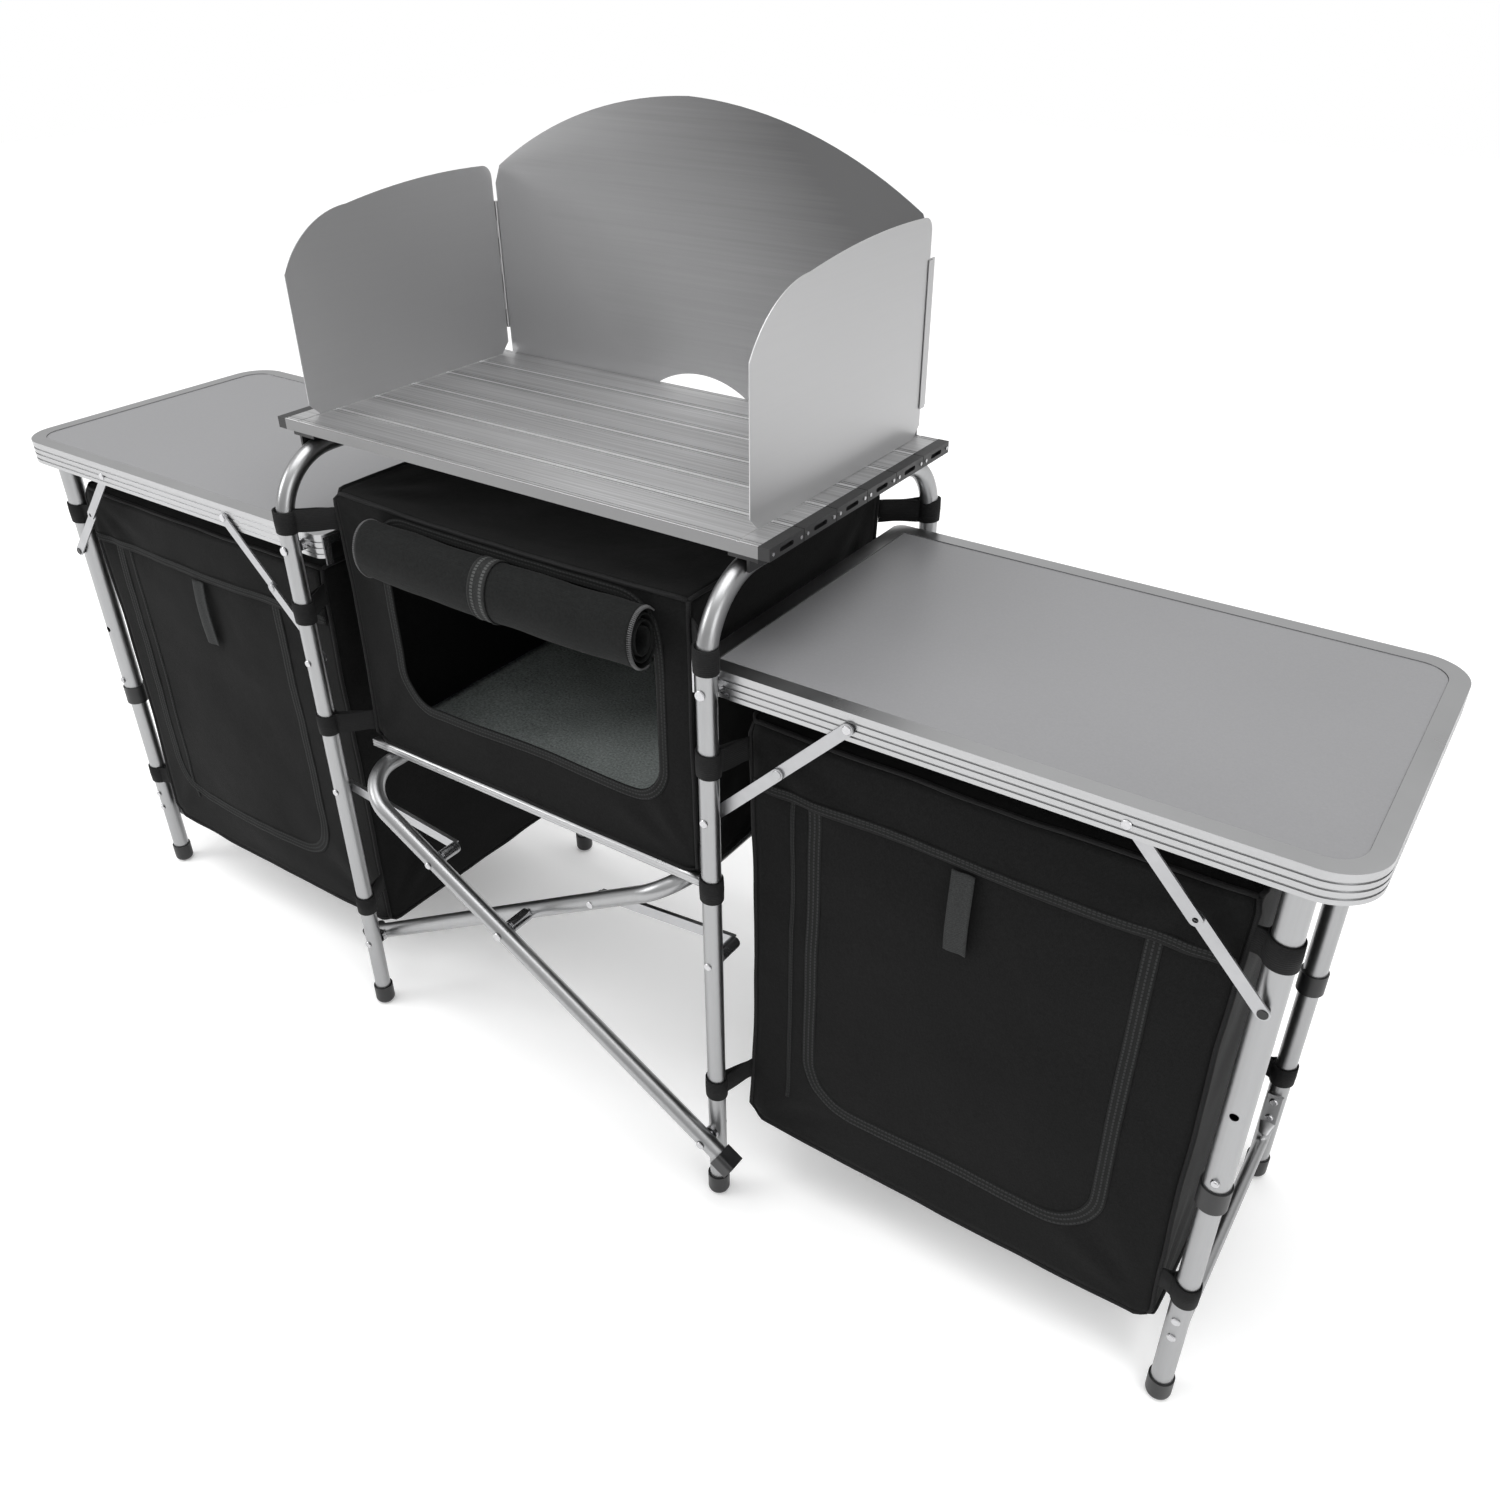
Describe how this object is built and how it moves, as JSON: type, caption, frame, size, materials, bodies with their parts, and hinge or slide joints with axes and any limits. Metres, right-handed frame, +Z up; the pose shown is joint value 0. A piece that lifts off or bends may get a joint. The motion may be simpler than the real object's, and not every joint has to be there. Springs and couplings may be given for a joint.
{
  "type": "camp kitchen table",
  "caption": "Folding camp kitchen table with a slatted deck, windscreen, central cabinet and side tables over zipped cupboards.",
  "frame": {"origin": "on the ground under the middle of the table", "axes": "+X along the length to the right when seen from the front, +Y towards the windscreen at the back, +Z up"},
  "size_m": [1.696, 0.492, 1.101],
  "materials": {
    "tube_aluminium": "satin anodised tube",
    "deck_aluminium": "brushed lengthwise",
    "brushed_sheet": "fine brushed sheet",
    "table_edge_aluminium": "satin extrusion",
    "strut_aluminium": "rolled flat bar",
    "steel_hardware": "zinc-plated",
    "black_plastic": "moulded, matte",
    "grey_board": "grey laminate on fibreboard",
    "black_fabric": "coated woven polyester",
    "webbing": "woven webbing",
    "grey_tape": "grosgrain tape"
  },
  "bodies": {
    "root": {"deck_slats": "deck_aluminium", "slat_end_caps": "black_plastic", "slat_link_pins": "steel_hardware", "deck_hook_rails": "black_plastic", "windscreen_back": "brushed_sheet", "windscreen_hinges": "brushed_sheet", "cabinet": "black_fabric", "rolled_door": "black_fabric", "cabinet_rails": "table_edge_aluminium"},
    "right_wing": {"right_windscreen_wing": "brushed_sheet"},
    "left_wing": {"left_windscreen_wing": "brushed_sheet"},
    "right_frame": {"right_stand_hoop": "tube_aluminium", "right_stand_feet": "black_plastic", "right_stand_pins_and_spacers": "steel_hardware", "right_table_edge": "table_edge_aluminium", "right_table_panel": "grey_board", "right_table_pins_and_brackets": "steel_hardware", "right_inner_braces": "strut_aluminium", "right_cupboard": "black_fabric"},
    "right_upper_legs": {"right_front_upper_leg": "tube_aluminium", "right_rear_upper_leg": "tube_aluminium", "right_leg_collars_and_rivets": "black_plastic"},
    "right_lower_legs": {"right_front_lower_leg": "tube_aluminium", "right_rear_lower_leg": "tube_aluminium", "right_outer_feet": "black_plastic", "right_leg_crossbar": "tube_aluminium", "right_crossbar_screws": "steel_hardware"},
    "right_front_button": {"right_front_snap_button": "steel_hardware"},
    "right_rear_button": {"right_rear_snap_button": "steel_hardware"},
    "right_brace_upper": {"right_outer_brace_upper": "strut_aluminium"},
    "right_brace_lower": {"right_outer_brace_lower": "strut_aluminium"},
    "left_frame": {"left_stand_hoop": "tube_aluminium", "left_stand_feet": "black_plastic", "left_stand_pins_and_spacers": "steel_hardware", "left_table_edge": "table_edge_aluminium", "left_table_panel": "grey_board", "left_table_pins_and_brackets": "steel_hardware", "left_inner_braces": "strut_aluminium", "left_cupboard": "black_fabric"},
    "left_upper_legs": {"left_front_upper_leg": "tube_aluminium", "left_rear_upper_leg": "tube_aluminium", "left_leg_collars_and_rivets": "black_plastic"},
    "left_lower_legs": {"left_front_lower_leg": "tube_aluminium", "left_rear_lower_leg": "tube_aluminium", "left_outer_feet": "black_plastic", "left_leg_crossbar": "tube_aluminium", "left_crossbar_screws": "steel_hardware"},
    "left_front_button": {"left_front_snap_button": "steel_hardware"},
    "left_rear_button": {"left_rear_snap_button": "steel_hardware"},
    "left_brace_upper": {"left_outer_brace_upper": "strut_aluminium"},
    "left_brace_lower": {"left_outer_brace_lower": "strut_aluminium"},
    "wide_hoop": {"wide_hoop": "tube_aluminium", "wide_hoop_plugs": "black_plastic", "wide_hoop_rivets_and_spacers": "steel_hardware"},
    "narrow_hoop": {"narrow_hoop": "tube_aluminium", "narrow_hoop_plugs": "black_plastic", "narrow_hoop_rivets": "steel_hardware"},
    "right_struts": {"right_struts": "strut_aluminium"},
    "left_struts": {"left_struts": "strut_aluminium"}
  },
  "joints": [
    {"name": "stand_fold", "type": "slide", "parent": "root", "child": "right_frame", "axis": [1, 0, 0], "range_m": [-0.15, 0], "deforming": ["cabinet", "rolled_door", "cabinet_rails"]},
    {"name": "left_side_slide", "type": "slide", "parent": "root", "child": "left_frame", "axis": [1, 0, 0], "range_m": [0, 0.15001]},
    {"name": "wide_hoop_turn", "type": "hinge", "parent": "right_frame", "child": "wide_hoop", "pos_m": [0.283, 0, 0.105], "axis": [0, 1, 0], "range_deg": [0, 35.69]},
    {"name": "narrow_hoop_turn", "type": "hinge", "parent": "left_frame", "child": "narrow_hoop", "pos_m": [-0.283, 0, 0.105], "axis": [0, -1, 0], "range_deg": [0, 35.69]},
    {"name": "right_strut_turn", "type": "hinge", "parent": "right_frame", "child": "right_struts", "pos_m": [0.283, 0, 0.35], "axis": [0, 1, 0], "range_deg": [0, 68.34]},
    {"name": "left_strut_turn", "type": "hinge", "parent": "left_frame", "child": "left_struts", "pos_m": [-0.283, 0, 0.35], "axis": [0, -1, 0], "range_deg": [0, 68.34]},
    {"name": "right_wing_fold", "type": "hinge", "parent": "root", "child": "right_wing", "pos_m": [0.2872, 0.1632, 0.9], "axis": [0, 0, -1], "range_deg": [0, 89]},
    {"name": "left_wing_fold", "type": "hinge", "parent": "root", "child": "left_wing", "pos_m": [-0.2872, 0.1632, 0.9], "axis": [0, 0, 1], "range_deg": [0, 90]},
    {"name": "right_legs_fold", "type": "hinge", "parent": "right_frame", "child": "right_upper_legs", "pos_m": [0.795, 0, 0.661], "axis": [0, 1, 0], "range_deg": [0, 89], "deforming": ["right_cupboard"]},
    {"name": "right_legs_telescope", "type": "slide", "parent": "right_upper_legs", "child": "right_lower_legs", "axis": [0, 0, 1], "range_m": [0, 0.10801], "deforming": ["right_front_snap_button", "right_rear_snap_button"]},
    {"name": "right_brace_upper_turn", "type": "hinge", "parent": "right_frame", "child": "right_brace_upper", "pos_m": [0.667, 0, 0.668], "axis": [0, -1, 0], "range_deg": [0, 43.7]},
    {"name": "right_brace_lower_turn", "type": "hinge", "parent": "right_upper_legs", "child": "right_brace_lower", "pos_m": [0.795, 0, 0.533], "axis": [0, 1, 0], "range_deg": [0, 41.7]},
    {"name": "right_front_button_press", "type": "slide", "parent": "right_lower_legs", "child": "right_front_button", "axis": [0, 1, 0], "range_m": [0, 0.005], "stiffness_N_per_m": 600, "springref_m": -0.002},
    {"name": "right_rear_button_press", "type": "slide", "parent": "right_lower_legs", "child": "right_rear_button", "axis": [0, -1, 0], "range_m": [0, 0.005], "stiffness_N_per_m": 600, "springref_m": -0.002},
    {"name": "left_legs_fold", "type": "hinge", "parent": "left_frame", "child": "left_upper_legs", "pos_m": [-0.795, 0, 0.661], "axis": [0, -1, 0], "range_deg": [0, 89], "deforming": ["left_cupboard"]},
    {"name": "left_legs_telescope", "type": "slide", "parent": "left_upper_legs", "child": "left_lower_legs", "axis": [0, 0, 1], "range_m": [0, 0.10801], "deforming": ["left_front_snap_button", "left_rear_snap_button"]},
    {"name": "left_brace_upper_turn", "type": "hinge", "parent": "left_frame", "child": "left_brace_upper", "pos_m": [-0.667, 0, 0.668], "axis": [0, 1, 0], "range_deg": [0, 43.7]},
    {"name": "left_brace_lower_turn", "type": "hinge", "parent": "left_upper_legs", "child": "left_brace_lower", "pos_m": [-0.795, 0, 0.533], "axis": [0, -1, 0], "range_deg": [0, 41.7]},
    {"name": "left_front_button_press", "type": "slide", "parent": "left_lower_legs", "child": "left_front_button", "axis": [0, 1, 0], "range_m": [0, 0.005], "stiffness_N_per_m": 600, "springref_m": -0.002},
    {"name": "left_rear_button_press", "type": "slide", "parent": "left_lower_legs", "child": "left_rear_button", "axis": [0, -1, 0], "range_m": [0, 0.005], "stiffness_N_per_m": 600, "springref_m": -0.002}
  ],
  "couplings": [
    {"joint": "left_side_slide", "follows": "stand_fold", "ratio": -1},
    {"joint": "wide_hoop_turn", "follows": "stand_fold", "rad_per_m": -4.1524},
    {"joint": "narrow_hoop_turn", "follows": "stand_fold", "rad_per_m": -4.1524},
    {"joint": "right_strut_turn", "follows": "stand_fold", "rad_per_m": -7.9511},
    {"joint": "left_strut_turn", "follows": "stand_fold", "rad_per_m": -7.9511},
    {"joint": "right_legs_telescope", "follows": "right_legs_fold", "m_per_rad": 0.069527},
    {"joint": "right_brace_upper_turn", "follows": "right_legs_fold", "ratio": 0.49101},
    {"joint": "right_brace_lower_turn", "follows": "right_legs_fold", "ratio": 0.46854},
    {"joint": "left_legs_telescope", "follows": "left_legs_fold", "m_per_rad": 0.069527},
    {"joint": "left_brace_upper_turn", "follows": "left_legs_fold", "ratio": 0.49101},
    {"joint": "left_brace_lower_turn", "follows": "left_legs_fold", "ratio": 0.46854}
  ]
}
